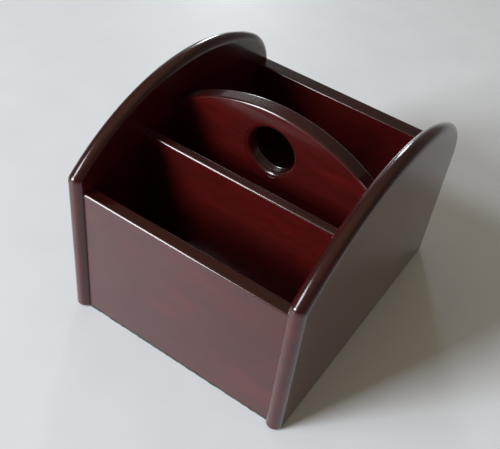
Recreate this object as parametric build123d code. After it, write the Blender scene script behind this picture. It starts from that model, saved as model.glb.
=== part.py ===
from build123d import *
import os
from math import sqrt

os.makedirs("parts", exist_ok=True)

# A desk organizer of lacquered boards: three open compartments for pens between two
# arched side panels, over a shallow drawer that opens at the rear.
# Millimetres. X runs left to right along the front panel, Y from front to rear and
# Z up. The origin is the middle of the footprint, on the surface that it stands on.

# ---- driving dimensions: the whole ----
overall_width = 145.0
overall_depth = 180.0
overall_height = 132.0

# ---- side panels ----
side_thickness = 9.5
side_front_height = 99.0
side_arc_radius = 141.4
side_front_corner_radius = 5.0
side_rear_corner_radius = 36.0
side_edge_rounding = 4.6

# ---- cross boards ----
panel_setback = 3.6
front_thickness = 8.0
front_top_height = 90.0
front_divider_thickness = 6.0
front_divider_place = 52.0
front_divider_top_height = 102.0
arched_divider_thickness = 9.5
arched_divider_place = 81.3
crown_top_height = 129.8
crown_radius = 102.0
finger_hole_diameter = 28.0
finger_hole_rounding = 3.0
finger_hole_drop = 25.3
rear_thickness = 10.0
rear_top_height = 90.0
board_edge_rounding = 1.4

# ---- base, compartment floor and felt ----
felt_thickness = 1.5
felt_inset = 1.0
felt_corner_radius = 3.0
base_thickness = 5.0
drawer_opening_height = 24.0
floor_thickness = 5.0
housing_depth = 3.0
housing_clearance = 0.1

# ---- drawer ----
drawer_front_thickness = 8.0
drawer_wall_thickness = 5.0
drawer_bottom_thickness = 2.5
drawer_bottom_lift = 1.5
drawer_groove_depth = 2.0
drawer_side_clearance = 0.5
drawer_top_clearance = 0.6
drawer_slide_clearance = 0.3
drawer_end_clearance = 0.5
drawer_travel = 120.0
notch_width = 28.0
notch_depth = 9.0
drawer_edge_rounding = 0.8

# ---- batten that stops the drawer ----
stop_height = 3.0
stop_width = 6.0
stop_length = 90.0
stop_clearance = 0.7

# ---- dowels and brads ----
dowel_diameter = 5.0
dowel_length = 16.0
dowel_in_side = 6.0
thin_dowel_diameter = 3.0
thin_dowel_length = 12.0
thin_dowel_in_face = 5.0
dowel_edge_distance = 12.0
dowel_fit = 0.05
dowel_hole_spare = 0.4
drawer_dowel_spacing = 9.0
brad_diameter = 1.6
brad_length = 14.0
brad_head_diameter = 3.0
brad_head_height = 0.8
brad_spacing = 10.0

# ---- how far a cutter stands past a face, and how near counts as on a plane ----
overcut = 1.0
on_plane = 0.001

# ---- places worked out from them ----
outer_x = overall_width / 2
inner_x = outer_x - side_thickness
front_edge_y = -overall_depth / 2
rear_edge_y = overall_depth / 2

board_bottom_z = felt_thickness
base_top_z = board_bottom_z + base_thickness
floor_bottom_z = base_top_z + drawer_opening_height
floor_top_z = floor_bottom_z + floor_thickness

front_face_y = front_edge_y + panel_setback
front_inner_y = front_face_y + front_thickness
divider_face_y = front_edge_y + front_divider_place
divider_rear_y = divider_face_y + front_divider_thickness
arched_face_y = front_edge_y + arched_divider_place
arched_rear_y = arched_face_y + arched_divider_thickness
rear_face_y = rear_edge_y - panel_setback
rear_inner_y = rear_face_y - rear_thickness

side_arc_centre_z = overall_height - side_arc_radius
side_front_rise = side_front_height - side_arc_centre_z
side_arc_centre_y = front_edge_y + sqrt(side_arc_radius**2 - side_front_rise**2)
side_rear_reach = rear_edge_y - side_arc_centre_y
side_rear_height = side_arc_centre_z + sqrt(side_arc_radius**2 - side_rear_reach**2)

crown_centre_z = crown_top_height - crown_radius
crown_end_z = crown_centre_z + sqrt(crown_radius**2 - inner_x**2)
finger_hole_z = crown_top_height - finger_hole_drop

drawer_half_width = inner_x - drawer_side_clearance
drawer_low_z = base_top_z + drawer_slide_clearance
drawer_front_top_z = floor_bottom_z - drawer_top_clearance
drawer_side_top_z = floor_bottom_z - stop_height - stop_clearance
drawer_inner_end_y = front_inner_y + drawer_end_clearance
drawer_front_inner_y = rear_face_y - drawer_front_thickness
drawer_back_rear_y = drawer_inner_end_y + drawer_wall_thickness
drawer_bottom_low_z = drawer_low_z + drawer_bottom_lift
drawer_bottom_top_z = drawer_bottom_low_z + drawer_bottom_thickness
drawer_wall_inner_x = drawer_half_width - drawer_wall_thickness
drawer_groove_x = drawer_wall_inner_x + drawer_groove_depth
drawer_mid_z = (drawer_bottom_top_z + drawer_side_top_z) / 2
stop_front_y = drawer_back_rear_y + drawer_travel + drawer_end_clearance


# ---- small makers ----
def block(low, high):
    """A box between its lowest and highest corner."""
    size = [high[i] - low[i] for i in range(3)]
    middle = [(high[i] + low[i]) / 2 for i in range(3)]
    return Pos(*middle) * Box(*size)


def rod_x(diameter, x_from, x_to, y, z):
    """A round rod lying along X."""
    turned = Rot(0, 90, 0) * Cylinder(diameter / 2, abs(x_to - x_from))
    return Pos((x_from + x_to) / 2, y, z) * turned


def rod_y(diameter, x, y_from, y_to, z):
    """A round rod lying along Y."""
    turned = Rot(90, 0, 0) * Cylinder(diameter / 2, abs(y_to - y_from))
    return Pos(x, (y_from + y_to) / 2, z) * turned


def save(name, *solids):
    """Writes one node: a single piece, or a group of like pieces."""
    shape = solids[0] if len(solids) == 1 else Compound(children=list(solids))
    export_step(shape, "parts/" + name + ".step")


# ---- dowels: where each cross board meets a side panel ----
# Each entry gives the board's dowel diameter, length, depth in the side panel, and
# the middle of its thickness and its two dowel heights.
def dowel_row(diameter, length, in_side, face_y, rear_y, bottom_z, top_z):
    middle_y = (face_y + rear_y) / 2
    heights = (bottom_z + dowel_edge_distance, top_z - dowel_edge_distance)
    return {
        "diameter": diameter,
        "length": length,
        "in_side": in_side,
        "places": [(middle_y, z) for z in heights],
    }


dowel_rows = {
    "front_panel": dowel_row(
        dowel_diameter, dowel_length, dowel_in_side,
        front_face_y, front_inner_y, board_bottom_z, front_top_height,
    ),
    "front_divider": dowel_row(
        thin_dowel_diameter, thin_dowel_length, thin_dowel_in_face,
        divider_face_y, divider_rear_y, floor_top_z, front_divider_top_height,
    ),
    "arched_divider": dowel_row(
        dowel_diameter, dowel_length, dowel_in_side,
        arched_face_y, arched_rear_y, floor_top_z, crown_end_z,
    ),
    "rear_panel": dowel_row(
        dowel_diameter, dowel_length, dowel_in_side,
        rear_inner_y, rear_face_y, floor_bottom_z, rear_top_height,
    ),
}


def board_dowels(row, side):
    """The dowels of one board on one side (-1 left, 1 right)."""
    tip = inner_x + row["in_side"]
    root = tip - row["length"]
    return [rod_x(row["diameter"], side * root, side * tip, y, z) for y, z in row["places"]]


def board_dowel_holes(row, side):
    """The holes that those dowels fill, a little wider and deeper than they are."""
    diameter = row["diameter"] + 2 * dowel_fit
    tip = inner_x + row["in_side"] + dowel_hole_spare
    root = inner_x + row["in_side"] - row["length"] - dowel_hole_spare
    return [rod_x(diameter, side * root, side * tip, y, z) for y, z in row["places"]]


# ---- side panels: arched boards, rounded over along front, top and rear ----
def side_panel(side):
    front_foot = (front_edge_y, board_bottom_z)
    front_head = (front_edge_y, side_front_height)
    crest = (side_arc_centre_y, overall_height)
    rear_head = (rear_edge_y, side_rear_height)
    rear_foot = (rear_edge_y, board_bottom_z)
    outline = Plane.YZ * make_face(
        [
            Line(front_foot, front_head),
            ThreePointArc(front_head, crest, rear_head),
            Line(rear_head, rear_foot),
            Line(rear_foot, front_foot),
        ]
    )
    heads = outline.vertices().sort_by(Axis.Z)[-2:].sort_by(Axis.Y)
    outline = fillet(heads[0], side_front_corner_radius)
    heads = outline.vertices().filter_by(lambda v: abs(v.Y - rear_edge_y) < on_plane)
    outline = fillet(heads.sort_by(Axis.Z)[-1], side_rear_corner_radius)
    board = extrude(outline, side_thickness, dir=(1, 0, 0))
    face_edges = board.edges().filter_by(Axis.X, reverse=True)
    rim = face_edges.filter_by(lambda e: e.center().Z > board_bottom_z + on_plane)
    board = fillet(rim, side_edge_rounding)
    board = Pos(inner_x if side > 0 else -outer_x, 0, 0) * board

    # housings in the inner face for the base board and the compartment floor
    housing_x = inner_x + housing_depth
    for low_z, high_z, end_y in (
        (board_bottom_z, base_top_z, rear_face_y),
        (floor_bottom_z, floor_top_z, rear_inner_y),
    ):
        low_x, high_x = sorted((side * (inner_x - overcut), side * housing_x))
        board -= block((low_x, front_inner_y, low_z), (high_x, end_y, high_z))
    for row in dowel_rows.values():
        for hole in board_dowel_holes(row, side):
            board -= hole
    return board


# ---- cross boards: straight boards between the side panels ----
def cross_board(name, face_y, rear_y, bottom_z, top_z):
    board = block((-inner_x, face_y, bottom_z), (inner_x, rear_y, top_z))
    top_edges = board.edges().filter_by(Axis.X).group_by(Axis.Z)[-1]
    board = fillet(top_edges, board_edge_rounding)
    for side in (-1, 1):
        for hole in board_dowel_holes(dowel_rows[name], side):
            board -= hole
    return board


def arched_divider():
    """A divider with a crowned top and a round finger hole."""
    foot_left = (-inner_x, floor_top_z)
    foot_right = (inner_x, floor_top_z)
    head_left = (-inner_x, crown_end_z)
    head_right = (inner_x, crown_end_z)
    outline = make_face(
        [
            Line(foot_left, head_left),
            ThreePointArc(head_left, (0, crown_top_height), head_right),
            Line(head_right, foot_right),
            Line(foot_right, foot_left),
        ]
    )
    board = extrude(Plane.XZ * outline, arched_divider_thickness, dir=(0, 1, 0))
    board = Pos(0, arched_face_y, 0) * board
    crown = board.edges().filter_by(GeomType.CIRCLE)
    board = fillet(crown, board_edge_rounding)
    board -= rod_y(finger_hole_diameter, 0, arched_face_y, arched_rear_y, finger_hole_z)
    rims = [
        edge for edge in board.edges().filter_by(GeomType.CIRCLE)
        if abs(edge.radius - finger_hole_diameter / 2) < on_plane
    ]
    board = fillet(rims, finger_hole_rounding)
    for side in (-1, 1):
        for hole in board_dowel_holes(dowel_rows["arched_divider"], side):
            board -= hole
    return board


# ---- base board and compartment floor, let into the side panels ----
def housed_board(low_z, high_z, end_y):
    reach = inner_x + housing_depth - housing_clearance
    return block((-reach, front_inner_y, low_z), (reach, end_y, high_z))


# ---- felt sheet glued under the base ----
def felt_pad():
    width = overall_width - 2 * felt_inset
    depth = rear_face_y - front_face_y
    sheet = Pos(0, 0, felt_thickness / 2) * Box(width, depth, felt_thickness)
    return fillet(sheet.edges().filter_by(Axis.Z), felt_corner_radius)


# ---- drawer ----
def drawer_dowel_places():
    """Height of the two dowels at each front corner of the drawer."""
    return (drawer_mid_z - drawer_dowel_spacing / 2, drawer_mid_z + drawer_dowel_spacing / 2)


drawer_wall_middle_x = drawer_wall_inner_x + drawer_wall_thickness / 2
brad_tip_x = drawer_half_width - brad_length
brad_y = drawer_inner_end_y + drawer_wall_thickness / 2
brad_places = (drawer_mid_z - brad_spacing / 2, drawer_mid_z + brad_spacing / 2)


def drawer_bottom_space(spare):
    """The bottom panel's own space; spare widens it for the grooves that hold it."""
    low = (-drawer_groove_x - spare, drawer_inner_end_y, drawer_bottom_low_z)
    high = (
        drawer_groove_x + spare,
        drawer_front_inner_y + drawer_groove_depth + spare,
        drawer_bottom_top_z,
    )
    return block(low, high)


def drawer_dowel(side, z, fit, spare):
    """One dowel between the drawer's front and a side, or its hole."""
    y_tip = drawer_front_inner_y + thin_dowel_in_face + spare
    y_root = drawer_front_inner_y + thin_dowel_in_face - thin_dowel_length - spare
    return rod_y(thin_dowel_diameter + 2 * fit, side * drawer_wall_middle_x, y_root, y_tip, z)


def brad(side, z, fit):
    """One brad through a drawer side into the drawer's back, its head let in flush."""
    shank_diameter = brad_diameter + 2 * fit
    head_diameter = brad_head_diameter + 2 * fit
    head_x = drawer_half_width - brad_head_height
    shank = rod_x(shank_diameter, side * (brad_tip_x - fit), side * head_x, brad_y, z)
    return shank + rod_x(head_diameter, side * head_x, side * drawer_half_width, brad_y, z)


def drawer_front():
    """A low board with a finger notch, an arc cut down into its top edge."""
    low = (-drawer_half_width, drawer_front_inner_y, drawer_low_z)
    high = (drawer_half_width, rear_face_y, drawer_front_top_z)
    board = block(low, high)
    notch_radius = (notch_width**2 / 4 + notch_depth**2) / (2 * notch_depth)
    notch_z = drawer_front_top_z - notch_depth + notch_radius
    cut_from_y = drawer_front_inner_y - overcut
    cut_to_y = rear_face_y + overcut
    board -= rod_y(2 * notch_radius, 0, cut_from_y, cut_to_y, notch_z)
    rims = board.edges().filter_by(lambda e: abs(e.center().Y - rear_face_y) < on_plane)
    board = fillet(rims, drawer_edge_rounding)
    board -= drawer_bottom_space(housing_clearance)
    for side in (-1, 1):
        for z in drawer_dowel_places():
            board -= drawer_dowel(side, z, dowel_fit, dowel_hole_spare)
    return board


def drawer_side(side):
    low_x, high_x = sorted((side * drawer_wall_inner_x, side * drawer_half_width))
    low = (low_x, drawer_inner_end_y, drawer_low_z)
    high = (high_x, drawer_front_inner_y, drawer_side_top_z)
    board = block(low, high)
    top_edges = board.edges().filter_by(Axis.Y).group_by(Axis.Z)[-1]
    board = fillet(top_edges, drawer_edge_rounding)
    board -= drawer_bottom_space(housing_clearance)
    for z in drawer_dowel_places():
        board -= drawer_dowel(side, z, dowel_fit, dowel_hole_spare)
    for z in brad_places:
        board -= brad(side, z, dowel_fit)
    return board


def drawer_back():
    """Taller than the sides, so that it catches on the stop batten."""
    low = (-drawer_wall_inner_x, drawer_inner_end_y, drawer_bottom_top_z)
    high = (drawer_wall_inner_x, drawer_back_rear_y, drawer_front_top_z)
    board = block(low, high)
    top_edges = board.edges().filter_by(Axis.X).group_by(Axis.Z)[-1]
    board = fillet(top_edges, drawer_edge_rounding)
    for side in (-1, 1):
        for z in brad_places:
            board -= brad(side, z, dowel_fit)
    return board


def stop_batten():
    """A strip glued under the compartment floor, which the drawer's back runs up to."""
    low = (-stop_length / 2, stop_front_y, floor_bottom_z - stop_height)
    high = (stop_length / 2, stop_front_y + stop_width, floor_bottom_z)
    return block(low, high)


# ---- the pieces, each in its own file ----
save("left_side_panel", side_panel(-1))
save("right_side_panel", side_panel(1))
save("front_panel", cross_board(
    "front_panel", front_face_y, front_inner_y, board_bottom_z, front_top_height))
save("front_divider", cross_board(
    "front_divider", divider_face_y, divider_rear_y, floor_top_z, front_divider_top_height))
save("arched_divider", arched_divider())
save("rear_panel", cross_board(
    "rear_panel", rear_inner_y, rear_face_y, floor_bottom_z, rear_top_height))
save("base_board", housed_board(board_bottom_z, base_top_z, rear_face_y))
save("compartment_floor", housed_board(floor_bottom_z, floor_top_z, rear_inner_y))
save("felt_base_pad", felt_pad())
save("drawer_stop_batten", stop_batten())
for name, row in dowel_rows.items():
    save(name + "_dowels", *board_dowels(row, -1), *board_dowels(row, 1))

save("drawer_front", drawer_front())
save("drawer_left_side", drawer_side(-1))
save("drawer_right_side", drawer_side(1))
save("drawer_back", drawer_back())
save("drawer_bottom", drawer_bottom_space(0))
corner_dowels = [drawer_dowel(side, z, 0, 0) for side in (-1, 1) for z in drawer_dowel_places()]
save("drawer_dowels", *corner_dowels)
save("drawer_brads", *[brad(side, z, 0) for side in (-1, 1) for z in brad_places])
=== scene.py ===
import math

import bpy
from mathutils import Matrix, Vector, noise


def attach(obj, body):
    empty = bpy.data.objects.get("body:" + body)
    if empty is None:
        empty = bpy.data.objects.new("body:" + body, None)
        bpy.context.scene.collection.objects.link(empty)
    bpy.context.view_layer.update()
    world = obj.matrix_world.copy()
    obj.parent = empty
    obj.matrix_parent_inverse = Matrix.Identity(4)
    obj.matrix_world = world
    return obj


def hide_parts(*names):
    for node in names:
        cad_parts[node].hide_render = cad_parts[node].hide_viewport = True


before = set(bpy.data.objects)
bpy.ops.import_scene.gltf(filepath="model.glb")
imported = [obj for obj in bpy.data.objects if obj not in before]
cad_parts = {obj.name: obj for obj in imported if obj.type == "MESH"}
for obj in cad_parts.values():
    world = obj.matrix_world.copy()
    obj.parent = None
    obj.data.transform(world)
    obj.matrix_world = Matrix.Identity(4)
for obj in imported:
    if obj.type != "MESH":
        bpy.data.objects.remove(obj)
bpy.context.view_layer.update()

# A desk organizer of lacquered boards: three open compartments for pens between
# two arched side panels, over a shallow drawer that opens at the rear. X runs along
# the front panel, Y from front to rear and Z up. Sizes are in millimetres until mm()
# turns them to metres.


# ---- side panels ----
# Two solid mahogany boards with one long arc sawn along the top, a tight corner at
# the front and a wide one at the rear. A router has rounded every edge but the
# foot, and housings in the inner faces hold the base board and the floor.
MM_PER_METRE = 1000
ON_PLANE = 0.01
OVERCUT = 1.0
OVERALL_WIDTH, OVERALL_DEPTH, OVERALL_HEIGHT = 145.0, 180.0, 132.0
SIDE_THICKNESS = 9.5
SIDE_FRONT_HEIGHT = 99.0
SIDE_ARC_RADIUS = 141.4
SIDE_FRONT_CORNER = 5.0
SIDE_REAR_CORNER = 36.0
SIDE_EDGE_ROUNDING = 4.6
FELT_THICKNESS = 1.5
BASE_THICKNESS = 5.0
DRAWER_OPENING_HEIGHT = 24.0
FLOOR_THICKNESS = 5.0
HOUSING_DEPTH = 3.0
PANEL_SETBACK = 3.6
FRONT_THICKNESS = 8.0
REAR_THICKNESS = 10.0
HOLE_SPARE = 0.4
HOLE_FIT = 0.05
DOWEL_DIAMETER, DOWEL_LENGTH, DOWEL_IN_SIDE = 5.0, 16.0, 6.0
THIN_DOWEL_DIAMETER, THIN_DOWEL_LENGTH, THIN_DOWEL_IN_FACE = 3.0, 12.0, 5.0
DOWEL_EDGE_DISTANCE = 12.0


def mm(*values):
    """Millimetres to metres: one number, or a vector of three."""
    metres = [value / MM_PER_METRE for value in values]
    return metres[0] if len(metres) == 1 else Vector(metres)


OUTER_X = OVERALL_WIDTH / 2
INNER_X = OUTER_X - SIDE_THICKNESS
FRONT_EDGE_Y, REAR_EDGE_Y = -OVERALL_DEPTH / 2, OVERALL_DEPTH / 2
BOARD_BOTTOM_Z = FELT_THICKNESS
BASE_TOP_Z = BOARD_BOTTOM_Z + BASE_THICKNESS
FLOOR_BOTTOM_Z = BASE_TOP_Z + DRAWER_OPENING_HEIGHT
FLOOR_TOP_Z = FLOOR_BOTTOM_Z + FLOOR_THICKNESS
FRONT_FACE_Y = FRONT_EDGE_Y + PANEL_SETBACK
FRONT_INNER_Y = FRONT_FACE_Y + FRONT_THICKNESS
REAR_FACE_Y = REAR_EDGE_Y - PANEL_SETBACK
REAR_INNER_Y = REAR_FACE_Y - REAR_THICKNESS


def put_down():
    """Closes the mesh being edited and leaves nothing chosen."""
    if bpy.context.object and bpy.context.object.mode == "EDIT":
        bpy.ops.object.mode_set(mode="OBJECT")
    bpy.ops.object.select_all(action="DESELECT")


def pick_up(board):
    """Makes a piece the only one chosen."""
    put_down()
    bpy.context.view_layer.objects.active = board
    board.select_set(True)


def edit(board):
    """Opens one piece's mesh for editing."""
    pick_up(board)
    bpy.ops.object.mode_set(mode="EDIT")


def select_parts(board, kind, wanted):
    """Selects a piece's edges or faces whose points, in mm, pass a test."""
    edit(board)
    bpy.ops.mesh.select_mode(type="EDGE" if kind == "edges" else "FACE")
    bpy.ops.mesh.select_all(action="DESELECT")
    bpy.ops.object.mode_set(mode="OBJECT")
    mesh = board.data
    points = [vertex.co * MM_PER_METRE for vertex in mesh.vertices]
    for part in mesh.edges if kind == "edges" else mesh.polygons:
        part.select = bool(wanted([points[i] for i in part.vertices]))
    bpy.ops.object.mode_set(mode="EDIT")


def start_outline(name, place):
    """A plane merged to one vertex, from which an outline is drawn."""
    put_down()
    bpy.ops.mesh.primitive_plane_add(size=mm(2.0))
    board = bpy.context.object
    board.name = board.data.name = name
    edit(board)
    bpy.ops.mesh.select_mode(type="VERT")
    bpy.ops.mesh.select_all(action="SELECT")
    bpy.ops.mesh.merge(type="CENTER")
    bpy.ops.transform.translate(value=mm(*place))
    return board


def draw_line(move):
    """Extrudes the outline's last vertex straight on."""
    bpy.ops.mesh.extrude_region_move(TRANSFORM_OT_translate={"value": mm(*move)})


def draw_arc(centre, axis, degrees, steps):
    """Spins the outline's last vertex round a centre."""
    turn = math.radians(degrees)
    bpy.ops.mesh.spin(steps=steps, angle=turn, center=mm(*centre), axis=axis)


def turn_faces_out():
    """Points all faces of the mesh being edited outwards."""
    bpy.ops.mesh.select_all(action="SELECT")
    bpy.ops.mesh.normals_make_consistent(inside=False)


def fill_and_thicken(move):
    """Fills the closed outline and extrudes it to the board's thickness."""
    bpy.ops.mesh.select_all(action="SELECT")
    bpy.ops.mesh.edge_face_add()
    bpy.ops.mesh.extrude_region_move(TRANSFORM_OT_translate={"value": mm(*move)})
    turn_faces_out()


def round_selected(radius, steps):
    """Rounds the selected edges, as a router bit does."""
    bpy.ops.mesh.bevel(
        offset_type="OFFSET", offset=mm(radius), segments=steps, profile=0.5,
        affect="EDGES", clamp_overlap=False,
    )


def add_block(name, low, high):
    """A cube primitive between two corners, its size and place put into its mesh."""
    put_down()
    low, high = Vector(low), Vector(high)
    bpy.ops.mesh.primitive_cube_add(size=1.0, location=(low + high) / 2 / MM_PER_METRE)
    block = bpy.context.object
    block.scale = (high - low) / MM_PER_METRE
    bpy.ops.object.transform_apply(location=True, rotation=True, scale=True)
    block.name = block.data.name = name
    return block


def add_rod(name, radius, start, end, sides=32):
    """A cylinder primitive between two points on a line along X or Y."""
    put_down()
    start, end = Vector(start), Vector(end)
    run = end - start
    turn = (0, math.pi / 2, 0) if abs(run.x) > abs(run.y) else (math.pi / 2, 0, 0)
    bpy.ops.mesh.primitive_cylinder_add(
        vertices=sides, radius=mm(radius), depth=run.length / MM_PER_METRE,
        location=(start + end) / 2 / MM_PER_METRE, rotation=turn,
    )
    rod = bpy.context.object
    bpy.ops.object.transform_apply(location=True, rotation=True, scale=True)
    rod.name = rod.data.name = name
    return rod


def cut_away(board, cutters):
    """Cuts blocks and rods out of a board, all at once."""
    put_down()
    for cutter in cutters:
        cutter.select_set(True)
    bpy.context.view_layer.objects.active = cutters[0]
    if len(cutters) > 1:
        bpy.ops.object.join()
    tool = bpy.context.object
    put_down()
    bpy.context.view_layer.objects.active = board
    bpy.ops.object.modifier_add(type="BOOLEAN")
    cut = board.modifiers[-1]
    cut.operation, cut.solver, cut.object = "DIFFERENCE", "EXACT", tool
    bpy.ops.object.modifier_apply(modifier=cut.name)
    bpy.data.objects.remove(tool)


SAME_POINT = 0.002
SHARP_ANGLE = 40.0
FLATS_FIRST = 100


def finish_board(board):
    """Smooth shading on the rounded edges, and true flats between them."""
    edit(board)
    bpy.ops.mesh.select_all(action="SELECT")
    bpy.ops.mesh.remove_doubles(threshold=mm(SAME_POINT))
    bpy.ops.object.mode_set(mode="OBJECT")
    bpy.ops.object.shade_smooth_by_angle(angle=math.radians(SHARP_ANGLE))
    bpy.ops.object.modifier_add(type="WEIGHTED_NORMAL")
    weighted = board.modifiers[-1]
    weighted.keep_sharp = True
    weighted.weight = FLATS_FIRST
    bpy.ops.object.modifier_apply(modifier=weighted.name)


def dowel_places(front_y, rear_y, low_z, high_z):
    """Where a cross board's two dowels lie: mid-thickness, one low and one high."""
    middle_y = (front_y + rear_y) / 2
    low_place = (middle_y, low_z + DOWEL_EDGE_DISTANCE)
    high_place = (middle_y, high_z - DOWEL_EDGE_DISTANCE)
    return [low_place, high_place]


def dowel_hole_rods(cross_board, side):
    """The holes for a cross board's dowels on one side, a little wider than the dowels."""
    front_y, rear_y, low_z, high_z, (diameter, length, in_side) = cross_board
    tip = INNER_X + in_side + HOLE_SPARE
    root = INNER_X + in_side - length - HOLE_SPARE
    radius = diameter / 2 + HOLE_FIT
    return [
        add_rod("dowel_hole", radius, (side * root, y, z), (side * tip, y, z))
        for y, z in dowel_places(front_y, rear_y, low_z, high_z)
    ]


# Where the cross boards stand, from the front edge, and how high they reach: the
# side panels are bored for them before anything is put together.
FRONT_TOP_Z = 90.0
DIVIDER_PLACE, DIVIDER_THICKNESS = 52.0, 6.0
DIVIDER_FACE_Y = FRONT_EDGE_Y + DIVIDER_PLACE
DIVIDER_REAR_Y = DIVIDER_FACE_Y + DIVIDER_THICKNESS
DIVIDER_TOP_Z = 102.0
ARCHED_PLACE, ARCHED_THICKNESS = 81.3, 9.5
ARCHED_FACE_Y = FRONT_EDGE_Y + ARCHED_PLACE
ARCHED_REAR_Y = ARCHED_FACE_Y + ARCHED_THICKNESS
CROWN_TOP_Z = 129.8
CROWN_RADIUS = 102.0
CROWN_CENTRE_Z = CROWN_TOP_Z - CROWN_RADIUS
CROWN_END_Z = CROWN_CENTRE_Z + math.sqrt(CROWN_RADIUS**2 - INNER_X**2)
REAR_TOP_Z = 90.0
THICK_DOWEL = (DOWEL_DIAMETER, DOWEL_LENGTH, DOWEL_IN_SIDE)
THIN_DOWEL = (THIN_DOWEL_DIAMETER, THIN_DOWEL_LENGTH, THIN_DOWEL_IN_FACE)
cross_boards = {
    "front_panel": (
        FRONT_FACE_Y, FRONT_INNER_Y, BOARD_BOTTOM_Z, FRONT_TOP_Z, THICK_DOWEL,
    ),
    "front_divider": (
        DIVIDER_FACE_Y, DIVIDER_REAR_Y, FLOOR_TOP_Z, DIVIDER_TOP_Z, THIN_DOWEL,
    ),
    "arched_divider": (
        ARCHED_FACE_Y, ARCHED_REAR_Y, FLOOR_TOP_Z, CROWN_END_Z, THICK_DOWEL,
    ),
    "rear_panel": (
        REAR_INNER_Y, REAR_FACE_Y, FLOOR_BOTTOM_Z, REAR_TOP_Z, THICK_DOWEL,
    ),
}

arc_centre_z = OVERALL_HEIGHT - SIDE_ARC_RADIUS
arc_centre_y = FRONT_EDGE_Y + math.sqrt(
    SIDE_ARC_RADIUS**2 - (SIDE_FRONT_HEIGHT - arc_centre_z) ** 2
)


def corner_on_arc(edge_y, radius, inward):
    """Centre of a corner arc that joins an upright edge to the long arc, and the
    angle above the horizontal at which the two arcs meet."""
    centre_y = edge_y + inward * radius
    reach = centre_y - arc_centre_y
    centre_z = arc_centre_z + math.sqrt((SIDE_ARC_RADIUS - radius) ** 2 - reach**2)
    meet = math.degrees(math.atan2(centre_z - arc_centre_z, abs(reach)))
    return centre_y, centre_z, meet


front_y, front_z, front_meet = corner_on_arc(FRONT_EDGE_Y, SIDE_FRONT_CORNER, 1)
rear_y, rear_z, rear_meet = corner_on_arc(REAR_EDGE_Y, SIDE_REAR_CORNER, -1)
long_arc_degrees = 180 - front_meet - rear_meet
ALONG_X = (1, 0, 0)
ALONG_Y = (0, 1, 0)
FRONT_CORNER_STEPS, LONG_ARC_STEPS, REAR_CORNER_STEPS = 14, 96, 32
SIDE_EDGE_STEPS = 12


def on_rim(points):
    on_face = max(p.x for p in points) - min(p.x for p in points) < ON_PLANE
    return on_face and max(p.z for p in points) > BOARD_BOTTOM_Z + ON_PLANE


side_panels = {}
for side, name in ((-1, "left_side_panel"), (1, "right_side_panel")):
    face_x = INNER_X if side > 0 else -OUTER_X
    board = start_outline("lacquered_" + name, (face_x, FRONT_EDGE_Y, BOARD_BOTTOM_Z))
    draw_line((0, 0, front_z - BOARD_BOTTOM_Z))
    draw_arc((face_x, front_y, front_z), ALONG_X, front_meet, FRONT_CORNER_STEPS)
    arc_centre = (face_x, arc_centre_y, arc_centre_z)
    draw_arc(arc_centre, ALONG_X, long_arc_degrees, LONG_ARC_STEPS)
    draw_arc((face_x, rear_y, rear_z), ALONG_X, rear_meet, REAR_CORNER_STEPS)
    draw_line((0, 0, BOARD_BOTTOM_Z - rear_z))
    fill_and_thicken((SIDE_THICKNESS, 0, 0))
    select_parts(board, "edges", on_rim)
    round_selected(SIDE_EDGE_ROUNDING, SIDE_EDGE_STEPS)
    cutters = []
    for low_z, high_z, end_y in (
        (BOARD_BOTTOM_Z, BASE_TOP_Z, REAR_FACE_Y),
        (FLOOR_BOTTOM_Z, FLOOR_TOP_Z, REAR_INNER_Y),
    ):
        spare = OVERCUT if low_z == BOARD_BOTTOM_Z else 0.0
        xs = sorted((side * (INNER_X - OVERCUT), side * (INNER_X + HOUSING_DEPTH)))
        low = (xs[0], FRONT_INNER_Y, low_z - spare)
        cutters.append(add_block("housing", low, (xs[1], end_y, high_z)))
    for cross_board in cross_boards.values():
        cutters += dowel_hole_rods(cross_board, side)
    cut_away(board, cutters)
    finish_board(board)
    side_panels[name] = board


def srgb(code):
    """A hex colour as the linear colour that shaders take."""
    values = [int(code[i : i + 2], 16) / 255 for i in (1, 3, 5)]
    linear = [v / 12.92 if v <= 0.04045 else ((v + 0.055) / 1.055) ** 2.4 for v in values]
    return (*linear, 1)


def add_node(tree, kind, inputs=None, stops=None, **settings):
    """Adds a node. Inputs are numbers, colours or the sockets to link to them."""
    node = tree.nodes.new(kind)
    for name, value in settings.items():
        setattr(node, name, value)
    for name, value in (inputs or {}).items():
        if isinstance(value, bpy.types.NodeSocket):
            tree.links.new(value, node.inputs[name])
        else:
            node.inputs[name].default_value = value
    if stops:
        elements = node.color_ramp.elements
        while len(elements) < len(stops):
            elements.new(0.5)
        for element, (place, colour) in zip(elements, stops):
            element.position = place
            element.color = srgb(colour)
    return node


def new_finish(name):
    """An empty material with its tree, shader and the object's own coordinates."""
    finish = bpy.data.materials.new(name)
    finish.use_nodes = True
    tree = finish.node_tree
    shader = next(node for node in tree.nodes if node.type == "BSDF_PRINCIPLED")
    place = add_node(tree, "ShaderNodeTexCoord").outputs["Object"]
    return finish, tree, shader, place


def per_metre(size):
    """Scale that makes one unit of a pattern this many millimetres long."""
    return MM_PER_METRE / size


def grain_scale(axis, along, across):
    """The same for a pattern of one size along the grain and another across it."""
    scale = [per_metre(across)] * 3
    scale[axis] = per_metre(along)
    return scale


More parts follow.
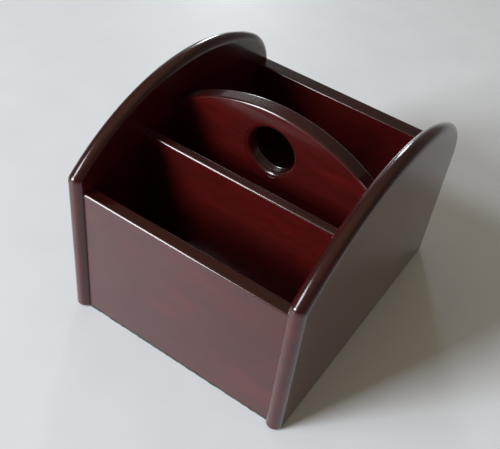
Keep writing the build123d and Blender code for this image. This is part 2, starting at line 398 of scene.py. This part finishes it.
# Gloss nitrocellulose lacquer, sprayed and rubbed, over mahogany stained deep
# red-brown: the eye gets a near-black red with faint pore lines along the board,
# soft clouds of colour, and a gloss whose reflections waver very slightly.
def mahogany_lacquer(name, grain_axis, shift=(0, 0, 0)):
    finish, tree, shader, place = new_finish(name)
    # soft clouds of colour, 45 mm long and 16 mm wide
    cloud_place = add_node(
        tree, "ShaderNodeMapping",
        {"Vector": place, "Location": shift, "Scale": grain_scale(grain_axis, 45, 16)},
    )
    clouds = add_node(
        tree, "ShaderNodeTexNoise",
        {"Vector": cloud_place.outputs["Vector"], "Scale": 1.0, "Detail": 4.0,
         "Roughness": 0.5, "Distortion": 0.6},
    )
    # real pores are 0.2 mm wide; drawn 0.9 mm wide and 16 mm long so that they show
    pore_place = add_node(
        tree, "ShaderNodeMapping",
        {"Vector": place, "Location": shift, "Scale": grain_scale(grain_axis, 16, 0.9)},
    )
    pores = add_node(
        tree, "ShaderNodeTexNoise",
        {"Vector": pore_place.outputs["Vector"], "Scale": 1.0, "Detail": 2.0,
         "Roughness": 0.6},
    )
    cloud_colour = add_node(
        tree, "ShaderNodeValToRGB", {"Fac": clouds.outputs["Fac"]},
        stops=((0.28, "#3f0f0f"), (0.52, "#460f0e"), (0.76, "#541110")),
    )
    pore_shade = add_node(
        tree, "ShaderNodeValToRGB", {"Fac": pores.outputs["Fac"]},
        stops=((0.34, "#d6d0d0"), (0.56, "#ffffff")),
    )
    grain = add_node(
        tree, "ShaderNodeMixRGB",
        {"Fac": 0.8, "Color1": cloud_colour.outputs["Color"],
         "Color2": pore_shade.outputs["Color"]},
        blend_type="MULTIPLY",
    )
    # painted shade: surfaces that face up, rounded edges and flat tops alike, are painted
    # darker for the dim light that falls on them from above
    facing = add_node(tree, "ShaderNodeNewGeometry").outputs["Normal"]
    facing_up = add_node(tree, "ShaderNodeSeparateXYZ", {"Vector": facing}).outputs["Z"]
    painted_shade_facing_up = add_node(
        tree, "ShaderNodeValToRGB", {"Fac": facing_up},
        stops=((0.1, "#ffffff"), (0.75, "#a89c9c")),
    )
    colour = add_node(
        tree, "ShaderNodeMixRGB",
        {"Fac": 1.0, "Color1": grain.outputs["Color"],
         "Color2": painted_shade_facing_up.outputs["Color"]},
        blend_type="MULTIPLY",
    )
    # rubbing marks and faint hand marks, 18 mm across
    rubbed = add_node(
        tree, "ShaderNodeTexNoise",
        {"Vector": place, "Scale": per_metre(18), "Detail": 5.0, "Roughness": 0.65},
    )
    roughness = add_node(
        tree, "ShaderNodeMapRange",
        {"Value": rubbed.outputs["Fac"], "From Min": 0.3, "From Max": 0.75,
         "To Min": 0.32, "To Max": 0.44},
    )
    # orange peel of the sprayed coat, 3.5 mm from dimple to dimple
    peel = add_node(
        tree, "ShaderNodeTexNoise",
        {"Vector": place, "Scale": per_metre(3.5), "Detail": 1.0, "Roughness": 0.4},
    )
    wave = add_node(
        tree, "ShaderNodeBump",
        {"Height": peel.outputs["Fac"], "Strength": 0.05, "Distance": mm(0.12)},
    )
    sunk = add_node(
        tree, "ShaderNodeBump",
        {"Height": pores.outputs["Fac"], "Strength": 0.02, "Distance": mm(0.05),
         "Normal": wave.outputs["Normal"]},
    )
    tree.links.new(colour.outputs["Color"], shader.inputs["Base Color"])
    tree.links.new(roughness.outputs["Result"], shader.inputs["Roughness"])
    tree.links.new(sunk.outputs["Normal"], shader.inputs["Normal"])
    tree.links.new(wave.outputs["Normal"], shader.inputs["Coat Normal"])
    shader.inputs["IOR"].default_value = 1.5
    shader.inputs["Specular IOR Level"].default_value = 0.08
    shader.inputs["Coat Weight"].default_value = 1.0
    shader.inputs["Coat IOR"].default_value = 1.55
    shader.inputs["Coat Roughness"].default_value = 0.15
    return finish


lacquer_lengthwise = mahogany_lacquer("gloss_lacquer_grain_lengthwise", 1)
for name, board in side_panels.items():
    board.data.materials.append(lacquer_lengthwise)
    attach(board, "case")
    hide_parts(name)


# ---- front panel, front divider and rear panel ----
# Straight mahogany boards set between the side panels on hidden dowels. Their top
# edges are eased, the ends are square, and all of them are lacquered as the sides.
BOARD_EDGE_ROUNDING, BOARD_EDGE_STEPS = 1.4, 6
OTHER_BOARD = (0.3, 0.1, 0.7)
lacquer_crosswise = mahogany_lacquer("gloss_lacquer_grain_crosswise", 0, OTHER_BOARD)


def long_top_edges(top_z, axis):
    """A test for the top edges of a straight board that run along an axis."""

    def is_long_top_edge(points):
        along = abs(points[0][axis] - points[1][axis]) > 1
        return along and min(p.z for p in points) > top_z - ON_PLANE

    return is_long_top_edge


for name in ("front_panel", "front_divider", "rear_panel"):
    front_y, rear_y, low_z, high_z = cross_boards[name][:4]
    low, high = (-INNER_X, front_y, low_z), (INNER_X, rear_y, high_z)
    board = add_block("lacquered_" + name, low, high)
    select_parts(board, "edges", long_top_edges(high_z, 0))
    round_selected(BOARD_EDGE_ROUNDING, BOARD_EDGE_STEPS)
    cutters = []
    for side in (-1, 1):
        cutters += dowel_hole_rods(cross_boards[name], side)
    cut_away(board, cutters)
    finish_board(board)
    board.data.materials.append(lacquer_crosswise)
    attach(board, "case")
    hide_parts(name)


# ---- arched divider ----
# The tallest board, sawn to a crowned top, with a round finger hole under the crown
# to lift the stand by. The crown is eased and the hole's rims are well rounded.
CROWN_STEPS = 32
HOLE_DIAMETER, HOLE_STEPS = 28.0, 32
HOLE_ROUNDING, HOLE_ROUNDING_STEPS = 2.8, 10
HOLE_SHOULDER_RADIUS, HOLE_SHOULDER_DEPTH, HOLE_SHOULDER_SIDES = 16.9, 0.3, 96
HOLE_DROP = 25.3
HOLE_Z = CROWN_TOP_Z - HOLE_DROP
ON_ARC = 0.05
HALVES_MEET = 0.005

# one half is drawn, with half of the hole, and then mirrored
half_board = start_outline("lacquered_arched_divider", (0, ARCHED_FACE_Y, FLOOR_TOP_Z))
draw_line((INNER_X, 0, 0))
draw_line((0, 0, CROWN_END_Z - FLOOR_TOP_Z))
crown_angle = math.degrees(math.asin(INNER_X / CROWN_RADIUS))
draw_arc((0, ARCHED_FACE_Y, CROWN_CENTRE_Z), ALONG_Y, crown_angle, CROWN_STEPS)
draw_line((0, 0, HOLE_Z + HOLE_DIAMETER / 2 - CROWN_TOP_Z))
draw_arc((0, ARCHED_FACE_Y, HOLE_Z), ALONG_Y, -180, HOLE_STEPS)
fill_and_thicken((0, ARCHED_THICKNESS, 0))

# the cutter that rounds the rims runs a little deep, which leaves a fine step
# round the hole on both faces
shoulders = []
for start_y, end_y in (
    (ARCHED_FACE_Y - OVERCUT, ARCHED_FACE_Y + HOLE_SHOULDER_DEPTH),
    (ARCHED_REAR_Y - HOLE_SHOULDER_DEPTH, ARCHED_REAR_Y + OVERCUT),
):
    start, end = (0, start_y, HOLE_Z), (0, end_y, HOLE_Z)
    shoulders.append(
        add_rod("shoulder", HOLE_SHOULDER_RADIUS, start, end, HOLE_SHOULDER_SIDES)
    )
cut_away(half_board, shoulders)


def on_middle(points):
    return max(abs(p.x) for p in points) < ON_PLANE


def on_arc(radius, centre_z, points):
    """Whether an edge lies on one face of the board, and on an arc of that radius."""
    if max(p.y for p in points) - min(p.y for p in points) > ON_PLANE:
        return False
    reach = [math.hypot(p.x, p.z - centre_z) for p in points]
    return max(abs(r - radius) for r in reach) < ON_ARC


def on_crown(points):
    high_enough = points[0].z > CROWN_END_Z - 1
    return high_enough and on_arc(CROWN_RADIUS, CROWN_CENTRE_Z, points)


def on_hole_rim(points):
    return on_arc(HOLE_DIAMETER / 2, HOLE_Z, points)


select_parts(half_board, "faces", on_middle)
bpy.ops.mesh.delete(type="FACE")
select_parts(half_board, "edges", on_crown)
round_selected(BOARD_EDGE_ROUNDING, BOARD_EDGE_STEPS)
select_parts(half_board, "edges", on_hole_rim)
round_selected(HOLE_ROUNDING, HOLE_ROUNDING_STEPS)
put_down()
bpy.ops.object.modifier_add(type="MIRROR")
mirror = half_board.modifiers[-1]
mirror.merge_threshold = mm(HALVES_MEET)
bpy.ops.object.modifier_apply(modifier=mirror.name)
# from here on it is the whole board
edit(half_board)
turn_faces_out()
cutters = []
for side in (-1, 1):
    cutters += dowel_hole_rods(cross_boards["arched_divider"], side)
cut_away(half_board, cutters)
finish_board(half_board)
half_board.data.materials.append(lacquer_crosswise)
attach(half_board, "case")
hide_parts("arched_divider")


# ---- base board and compartment floor ----
# Thin boards let into the side panels' housings and glued there. They are finished
# with the same lacquer as the boards that stand on and around them.
def refinish(names, finish):
    """Gives carried-over CAD nodes a finish in place of their plain one."""
    for name in names:
        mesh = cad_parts[name].data
        if not mesh.materials:
            mesh.materials.append(finish)
        for i in range(len(mesh.materials)):
            mesh.materials[i] = finish


refinish(["base_board", "compartment_floor"], lacquer_crosswise)


# ---- stop batten ----
# A strip of hardwood glued under the compartment floor. The drawer's taller back runs
# up to it, so the drawer can't fall out. Like the drawer's inner boards, it is wiped
# with red-brown stain and sealed once.
def stained_board(name, grain_axis):
    # the eye gets a satin brown with open pores and growth bands that still show
    finish, tree, shader, place = new_finish(name)
    # growth bands 5 mm wide, with the pores of the open grain over them
    band_place = add_node(
        tree, "ShaderNodeMapping",
        {"Vector": place, "Scale": grain_scale(grain_axis, 70, 5)},
    )
    bands = add_node(
        tree, "ShaderNodeTexNoise",
        {"Vector": band_place.outputs["Vector"], "Scale": 1.0, "Detail": 5.0,
         "Roughness": 0.55, "Distortion": 0.4},
    )
    # real pores are 0.2 mm wide; drawn 0.7 mm wide so that they show
    pore_place = add_node(
        tree, "ShaderNodeMapping",
        {"Vector": place, "Scale": grain_scale(grain_axis, 9, 0.7)},
    )
    pores = add_node(
        tree, "ShaderNodeTexNoise",
        {"Vector": pore_place.outputs["Vector"], "Scale": 1.0, "Detail": 2.0,
         "Roughness": 0.6},
    )
    band_colour = add_node(
        tree, "ShaderNodeValToRGB", {"Fac": bands.outputs["Fac"]},
        stops=((0.30, "#4a2015"), (0.52, "#633020"), (0.72, "#7a412b")),
    )
    pore_shade = add_node(
        tree, "ShaderNodeValToRGB", {"Fac": pores.outputs["Fac"]},
        stops=((0.36, "#6f6058"), (0.54, "#ffffff")),
    )
    colour = add_node(
        tree, "ShaderNodeMixRGB",
        {"Fac": 0.85, "Color1": band_colour.outputs["Color"],
         "Color2": pore_shade.outputs["Color"]},
        blend_type="MULTIPLY",
    )
    roughness = add_node(
        tree, "ShaderNodeMapRange",
        {"Value": bands.outputs["Fac"], "From Min": 0.3, "From Max": 0.7,
         "To Min": 0.42, "To Max": 0.58},
    )
    sunk = add_node(
        tree, "ShaderNodeBump",
        {"Height": pores.outputs["Fac"], "Strength": 0.35, "Distance": mm(0.1)},
    )
    tree.links.new(colour.outputs["Color"], shader.inputs["Base Color"])
    tree.links.new(roughness.outputs["Result"], shader.inputs["Roughness"])
    tree.links.new(sunk.outputs["Normal"], shader.inputs["Normal"])
    shader.inputs["IOR"].default_value = 1.5
    return finish


stained_crosswise = stained_board("stained_board_grain_crosswise", 0)
refinish(["drawer_stop_batten"], stained_crosswise)


# ---- dowels of the case ----
# Fluted beech pins, hidden in the joints between the cross boards and the sides.
# Raw beech is pale pinkish tan with short dark flecks along the pin.
def beech(name, grain_axis):
    finish, tree, shader, place = new_finish(name)
    # ray flecks 3 mm long and 0.5 mm wide
    fleck_place = add_node(
        tree, "ShaderNodeMapping",
        {"Vector": place, "Scale": grain_scale(grain_axis, 3.0, 0.5)},
    )
    flecks = add_node(
        tree, "ShaderNodeTexNoise",
        {"Vector": fleck_place.outputs["Vector"], "Scale": 1.0, "Detail": 3.0},
    )
    colour = add_node(
        tree, "ShaderNodeValToRGB", {"Fac": flecks.outputs["Fac"]},
        stops=((0.34, "#8f6540"), (0.50, "#c39c72"), (0.70, "#d6b48c")),
    )
    sunk = add_node(
        tree, "ShaderNodeBump",
        {"Height": flecks.outputs["Fac"], "Strength": 0.3, "Distance": mm(0.08)},
    )
    tree.links.new(colour.outputs["Color"], shader.inputs["Base Color"])
    tree.links.new(sunk.outputs["Normal"], shader.inputs["Normal"])
    shader.inputs["Roughness"].default_value = 0.6
    return finish


beech_crosswise = beech("raw_beech_grain_crosswise", 0)
refinish([name + "_dowels" for name in cross_boards], beech_crosswise)


# ---- felt base pad ----
# A sheet of dark green wool felt glued under the case. Its cut edge shows as a thin
# line under the boards, a little uneven and fuzzy.
FELT_INSET = 1.0
FELT_CORNER, FELT_CORNER_STEPS = 3.0, 6
RIM_CUTS, EDGE_CUTS = 150, 2
FACES_OUTWARD = 0.3
FUZZ_SIZE, FUZZ_REACH = 2.2, 0.35
TUFT_SIZE, TUFT_REACH, TUFT_RARITY = 8.8, 2, 0.4

felt_half_width = OUTER_X - FELT_INSET
felt_low = (-felt_half_width, FRONT_FACE_Y, 0)
felt_high = (felt_half_width, REAR_FACE_Y, FELT_THICKNESS)
felt = add_block("green_felt_pad", felt_low, felt_high)


def upright_edge(points):
    return abs(points[0].z - points[1].z) > FELT_THICKNESS / 2


def straight_rim(points):
    run = points[0] - points[1]
    return abs(run.z) < ON_PLANE and max(abs(run.x), abs(run.y)) > felt_half_width


select_parts(felt, "edges", upright_edge)
round_selected(FELT_CORNER, FELT_CORNER_STEPS)
select_parts(felt, "edges", straight_rim)
bpy.ops.mesh.subdivide(number_cuts=RIM_CUTS)
select_parts(felt, "edges", upright_edge)
bpy.ops.mesh.subdivide(number_cuts=EDGE_CUTS)
put_down()
# the knife left the cut edge a little uneven, with a loose tuft here and there
for vertex in felt.data.vertices:
    outward = Vector((vertex.normal.x, vertex.normal.y, 0))
    if outward.length > FACES_OUTWARD:
        spot = vertex.co * MM_PER_METRE
        wave = noise.noise(spot / FUZZ_SIZE)
        tuft = max(0.0, noise.noise(spot / TUFT_SIZE) - TUFT_RARITY)
        vertex.co += outward.normalized() * mm(FUZZ_REACH * wave + TUFT_REACH * tuft)
finish_board(felt)


def wool_felt(name):
    finish, tree, shader, place = new_finish(name)
    # matted fibres about 0.8 mm apart, over clumps of 6 mm
    fibres = add_node(
        tree, "ShaderNodeTexNoise",
        {"Vector": place, "Scale": per_metre(0.8), "Detail": 4.0, "Roughness": 0.7,
         "Distortion": 1.2},
    )
    clumps = add_node(
        tree, "ShaderNodeTexNoise",
        {"Vector": place, "Scale": per_metre(6), "Detail": 3.0},
    )
    fibre_colour = add_node(
        tree, "ShaderNodeValToRGB", {"Fac": fibres.outputs["Fac"]},
        stops=((0.32, "#061c15"), (0.50, "#0b2b1f"), (0.70, "#184a36")),
    )
    clump_shade = add_node(
        tree, "ShaderNodeValToRGB", {"Fac": clumps.outputs["Fac"]},
        stops=((0.3, "#b8b8b8"), (0.7, "#ffffff")),
    )
    colour = add_node(
        tree, "ShaderNodeMixRGB",
        {"Fac": 1.0, "Color1": fibre_colour.outputs["Color"],
         "Color2": clump_shade.outputs["Color"]},
        blend_type="MULTIPLY",
    )
    nap = add_node(
        tree, "ShaderNodeBump",
        {"Height": fibres.outputs["Fac"], "Strength": 0.8, "Distance": mm(0.25)},
    )
    tree.links.new(colour.outputs["Color"], shader.inputs["Base Color"])
    tree.links.new(nap.outputs["Normal"], shader.inputs["Normal"])
    shader.inputs["Roughness"].default_value = 0.95
    shader.inputs["Specular IOR Level"].default_value = 0.2
    shader.inputs["Sheen Weight"].default_value = 0.4
    shader.inputs["Sheen Roughness"].default_value = 0.5
    return finish


felt.data.materials.append(wool_felt("green_wool_felt"))
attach(felt, "case")
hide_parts("felt_base_pad")


# ---- drawer front ----
# A low mahogany board that closes the opening under the rear panel. A finger notch is
# sawn down into its top edge, the rims of its face are eased, and it is lacquered.
DRAWER_SIDE_CLEARANCE, DRAWER_SLIDE_CLEARANCE, DRAWER_TOP_CLEARANCE = 0.5, 0.3, 0.6
DRAWER_FRONT_THICKNESS = 8.0
DRAWER_WALL_THICKNESS = 5.0
DRAWER_BOTTOM_THICKNESS, DRAWER_BOTTOM_LIFT = 2.5, 1.5
GROOVE_DEPTH, GROOVE_SPARE = 2.0, 0.1
DRAWER_EDGE_ROUNDING, DRAWER_EDGE_STEPS = 0.8, 5
NOTCH_WIDTH, NOTCH_DEPTH, NOTCH_STEPS = 28.0, 9.0, 24
DRAWER_DOWEL_SPACING = 9.0
STOP_HEIGHT, STOP_CLEARANCE = 3.0, 0.7

drawer_half_width = INNER_X - DRAWER_SIDE_CLEARANCE
drawer_low_z = BASE_TOP_Z + DRAWER_SLIDE_CLEARANCE
drawer_front_top_z = FLOOR_BOTTOM_Z - DRAWER_TOP_CLEARANCE
drawer_side_top_z = FLOOR_BOTTOM_Z - STOP_HEIGHT - STOP_CLEARANCE
drawer_front_inner_y = REAR_FACE_Y - DRAWER_FRONT_THICKNESS
drawer_wall_x = drawer_half_width - DRAWER_WALL_THICKNESS
groove_x = drawer_wall_x + GROOVE_DEPTH + GROOVE_SPARE
groove_low_z = drawer_low_z + DRAWER_BOTTOM_LIFT
groove_high_z = groove_low_z + DRAWER_BOTTOM_THICKNESS
drawer_mid_z = (groove_high_z + drawer_side_top_z) / 2
drawer_dowel_x = (drawer_wall_x + drawer_half_width) / 2
drawer_dowel_zs = [drawer_mid_z + side * DRAWER_DOWEL_SPACING / 2 for side in (-1, 1)]
drawer_hole_radius = THIN_DOWEL_DIAMETER / 2 + HOLE_FIT
notch_radius = (NOTCH_WIDTH**2 / 4 + NOTCH_DEPTH**2) / (2 * NOTCH_DEPTH)
notch_z = drawer_front_top_z - NOTCH_DEPTH + notch_radius
notch_degrees = 2 * math.degrees(math.asin(NOTCH_WIDTH / 2 / notch_radius))

corner = (-drawer_half_width, drawer_front_inner_y, drawer_low_z)
drawer_front = start_outline("lacquered_drawer_front", corner)
draw_line((2 * drawer_half_width, 0, 0))
draw_line((0, 0, drawer_front_top_z - drawer_low_z))
draw_line((NOTCH_WIDTH / 2 - drawer_half_width, 0, 0))
draw_arc((0, drawer_front_inner_y, notch_z), ALONG_Y, -notch_degrees, NOTCH_STEPS)
draw_line((NOTCH_WIDTH / 2 - drawer_half_width, 0, 0))
fill_and_thicken((0, DRAWER_FRONT_THICKNESS, 0))


def on_face_rim(points):
    return min(p.y for p in points) > REAR_FACE_Y - ON_PLANE


select_parts(drawer_front, "edges", on_face_rim)
round_selected(DRAWER_EDGE_ROUNDING, DRAWER_EDGE_STEPS)
low = (-groove_x, drawer_front_inner_y - OVERCUT, groove_low_z)
high = (groove_x, drawer_front_inner_y + GROOVE_DEPTH + GROOVE_SPARE, groove_high_z)
cutters = [add_block("groove", low, high)]
for side in (-1, 1):
    for z in drawer_dowel_zs:
        start = (side * drawer_dowel_x, drawer_front_inner_y - OVERCUT, z)
        end = (start[0], drawer_front_inner_y + THIN_DOWEL_IN_FACE + HOLE_SPARE, z)
        cutters.append(add_rod("dowel_hole", drawer_hole_radius, start, end))
cut_away(drawer_front, cutters)
finish_board(drawer_front)
drawer_front.data.materials.append(lacquer_crosswise)
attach(drawer_front, "drawer")
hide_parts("drawer_front")


# ---- drawer sides ----
# Thin stained boards dowelled to the drawer's front, eased along the top and grooved
# for the bottom. Two brads through each one hold the drawer's back.
DRAWER_END_CLEARANCE = 0.5
BRAD_DIAMETER, BRAD_LENGTH = 1.6, 14.0
BRAD_HEAD_DIAMETER, BRAD_HEAD_HEIGHT = 3.0, 0.8
BRAD_SPACING = 10.0

drawer_end_y = FRONT_INNER_Y + DRAWER_END_CLEARANCE
brad_y = drawer_end_y + DRAWER_WALL_THICKNESS / 2
brad_zs = [drawer_mid_z + side * BRAD_SPACING / 2 for side in (-1, 1)]

low = (drawer_wall_x, drawer_end_y, drawer_low_z)
high = (drawer_half_width, drawer_front_inner_y, drawer_side_top_z)
right_side = add_block("stained_drawer_right_side", low, high)
select_parts(right_side, "edges", long_top_edges(drawer_side_top_z, 1))
round_selected(DRAWER_EDGE_ROUNDING, DRAWER_EDGE_STEPS)
low = (drawer_wall_x - OVERCUT, drawer_end_y - OVERCUT, groove_low_z)
high = (groove_x, drawer_front_inner_y + OVERCUT, groove_high_z)
cutters = [add_block("groove", low, high)]
dowel_root_y = drawer_front_inner_y + THIN_DOWEL_IN_FACE - THIN_DOWEL_LENGTH - HOLE_SPARE
for z in drawer_dowel_zs:
    start = (drawer_dowel_x, dowel_root_y, z)
    end = (drawer_dowel_x, drawer_front_inner_y + OVERCUT, z)
    cutters.append(add_rod("dowel_hole", drawer_hole_radius, start, end))
cut_away(right_side, cutters)
# the holes for the brads' shanks, and then for their heads
for radius, from_x in (
    (BRAD_DIAMETER / 2 + HOLE_FIT, drawer_wall_x - OVERCUT),
    (BRAD_HEAD_DIAMETER / 2 + HOLE_FIT, drawer_half_width - BRAD_HEAD_HEIGHT),
):
    to_x = drawer_half_width + OVERCUT
    cut_away(right_side, [
        add_rod("brad_hole", radius, (from_x, brad_y, z), (to_x, brad_y, z))
        for z in brad_zs
    ])


def mirrored_copy(board, name):
    """The same piece for the other side of the drawer, with a mesh of its own."""
    pick_up(board)
    bpy.ops.object.duplicate()
    copy = bpy.context.object
    copy.name = copy.data.name = name
    edit(copy)
    bpy.ops.mesh.select_all(action="SELECT")
    bpy.ops.transform.resize(value=(-1, 1, 1), center_override=(0, 0, 0))
    turn_faces_out()
    return copy


stained_lengthwise = stained_board("stained_board_grain_lengthwise", 1)
left_side = mirrored_copy(right_side, "stained_drawer_left_side")
for board, node in ((right_side, "drawer_right_side"), (left_side, "drawer_left_side")):
    finish_board(board)
    board.data.materials.append(stained_lengthwise)
    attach(board, "drawer")
    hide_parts(node)


# ---- drawer back and bottom ----
# The back stands on the bottom between the sides and reaches higher than they do, to
# catch on the stop batten. The bottom is a thin board slid into the grooves.
back_low = (-drawer_wall_x, drawer_end_y, groove_high_z)
back_high = (drawer_wall_x, drawer_end_y + DRAWER_WALL_THICKNESS, drawer_front_top_z)
drawer_back = add_block("stained_drawer_back", back_low, back_high)
select_parts(drawer_back, "edges", long_top_edges(drawer_front_top_z, 0))
round_selected(DRAWER_EDGE_ROUNDING, DRAWER_EDGE_STEPS)
cutters = []
for side in (-1, 1):
    for z in brad_zs:
        start = (side * (drawer_half_width - BRAD_LENGTH - HOLE_FIT), brad_y, z)
        end = (side * (drawer_wall_x + OVERCUT), brad_y, z)
        cutters.append(add_rod("brad_hole", BRAD_DIAMETER / 2 + HOLE_FIT, start, end))
cut_away(drawer_back, cutters)
finish_board(drawer_back)
drawer_back.data.materials.append(stained_crosswise)
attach(drawer_back, "drawer")
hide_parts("drawer_back")
refinish(["drawer_bottom"], stained_crosswise)


# ---- dowels and brads of the drawer ----
# Thin beech pins join the front to the sides, and short steel brads, their heads let
# in flush, hold the back. Drawn wire has a dull metal shine.
refinish(["drawer_dowels"], beech("raw_beech_grain_lengthwise", 1))


def steel(name):
    finish, tree, shader, place = new_finish(name)
    # specks of scale from the drawing die, 0.6 mm apart
    specks = add_node(
        tree, "ShaderNodeTexNoise",
        {"Vector": place, "Scale": per_metre(0.6), "Detail": 3.0},
    )
    roughness = add_node(
        tree, "ShaderNodeMapRange",
        {"Value": specks.outputs["Fac"], "From Min": 0.3, "From Max": 0.7,
         "To Min": 0.25, "To Max": 0.45},
    )
    tree.links.new(roughness.outputs["Result"], shader.inputs["Roughness"])
    shader.inputs["Base Color"].default_value = srgb("#a9a8a4")
    shader.inputs["Metallic"].default_value = 1.0
    return finish


refinish(["drawer_brads"], steel("bright_steel_wire"))


# ---- table top, light and camera ----
# Not part of the stand: a pale grey-white table top, and a dim room with a large soft
# window at the front left, a little sky above it, and a narrow window and a faintly
# lit wall at the back left.
TABLE_SIZE = 8000.0
put_down()
bpy.ops.mesh.primitive_plane_add(size=mm(TABLE_SIZE), location=(0, 0, 0))
table = bpy.context.object
table.name = table.data.name = "table_top"
table_finish, tree, shader, place = new_finish("pale_table_top")
# faint clouds in the paint, 40 mm across
cloudy = add_node(
    tree, "ShaderNodeTexNoise", {"Vector": place, "Scale": per_metre(40), "Detail": 4.0},
)
table_colour = add_node(
    tree, "ShaderNodeValToRGB", {"Fac": cloudy.outputs["Fac"]},
    stops=((0.3, "#dde4ea"), (0.7, "#e1e8ee")),
)
tree.links.new(table_colour.outputs["Color"], shader.inputs["Base Color"])
shader.inputs["Roughness"].default_value = 0.42
shader.inputs["Specular IOR Level"].default_value = 0.5
table.data.materials.append(table_finish)


STAND_MIDDLE = mm(0, 0, 50)


def add_window(name, place, width, height, power, colour, upright=False):
    """A soft area light, in metres and watts, that faces the stand or hangs upright."""
    place = Vector(place)
    facing = STAND_MIDDLE - place
    if upright:
        facing.z = 0
    lamp = bpy.data.lights.new(name, "AREA")
    lamp.shape = "RECTANGLE"
    lamp.size, lamp.size_y = width, height
    lamp.energy = power
    lamp.color = srgb(colour)[:3]
    holder = bpy.data.objects.new(name, lamp)
    bpy.context.scene.collection.objects.link(holder)
    holder.location = place
    holder.rotation_euler = facing.to_track_quat("-Z", "Y").to_euler()


add_window("front_left_window", (-1.47, -2.31, 1.27), 1.0, 1.1, 103.0, "#fcfcff")
add_window("front_left_skylight", (-1.44, -1.52, 2.13), 0.8, 0.6, 24.0, "#fbfbff")
add_window("back_left_window", (-1.66, 2.50, 0.78), 0.36, 0.84, 16.0, "#f2fbff", True)
add_window("back_left_wall", (-2.32, 1.91, 0.89), 1.0, 1.37, 1.0, "#f6faff", True)

room = bpy.data.worlds.new("dim_room")
bpy.context.scene.world = room
room.use_nodes = True
tree = room.node_tree
tree.nodes.clear()
ray = add_node(tree, "ShaderNodeLightPath")
# dim grey walls and a warmer ceiling light the shadows; the camera itself sees a pale
# backdrop where the table ends
toward = add_node(tree, "ShaderNodeTexCoord").outputs["Generated"]
height = add_node(tree, "ShaderNodeSeparateXYZ", {"Vector": toward}).outputs["Z"]
surroundings = add_node(
    tree, "ShaderNodeValToRGB", {"Fac": height},
    stops=((0.0, "#77746f"), (0.55, "#605a53"), (1.0, "#a8977c")),
)
dim = add_node(
    tree, "ShaderNodeBackground", {"Color": surroundings.outputs["Color"], "Strength": 1.0}
)
pale = add_node(tree, "ShaderNodeBackground", {"Color": srgb("#dfe2e4"), "Strength": 1.0})
mixed = add_node(
    tree, "ShaderNodeMixShader",
    {0: ray.outputs["Is Camera Ray"], 1: dim.outputs["Background"],
     2: pale.outputs["Background"]},
)
add_node(tree, "ShaderNodeOutputWorld", {"Surface": mixed.outputs["Shader"]})

# the camera's place and turn, found from the boards' edges in the photograph
CAMERA_AZIMUTH, CAMERA_ELEVATION, CAMERA_ROLL = 28.945, 44.439, 7.878
CAMERA_PLACE = (157.74, -305.18, 377.69)
FRAME_WIDTH_PX, FOCAL_PX, SENSOR_WIDTH = 500, 802.2, 36.0
camera = bpy.data.objects.new("photo_camera", bpy.data.cameras.new("photo_camera"))
bpy.context.scene.collection.objects.link(camera)
bpy.context.scene.camera = camera
camera.data.sensor_width = SENSOR_WIDTH
camera.data.lens = FOCAL_PX * SENSOR_WIDTH / FRAME_WIDTH_PX
turn, rise = math.radians(CAMERA_AZIMUTH), math.radians(CAMERA_ELEVATION)
level_back = Vector((math.sin(turn), -math.cos(turn), 0))
level_right = Vector((math.cos(turn), math.sin(turn), 0))
back = math.cos(rise) * level_back + Vector((0, 0, math.sin(rise)))
level_up = back.cross(level_right)
roll = math.radians(CAMERA_ROLL)
right = math.cos(roll) * level_right + math.sin(roll) * level_up
up = -math.sin(roll) * level_right + math.cos(roll) * level_up
pose = Matrix((right, up, back)).transposed().to_4x4()
pose.translation = mm(*CAMERA_PLACE)
camera.matrix_world = pose

bpy.context.scene.view_settings.view_transform = "Standard"
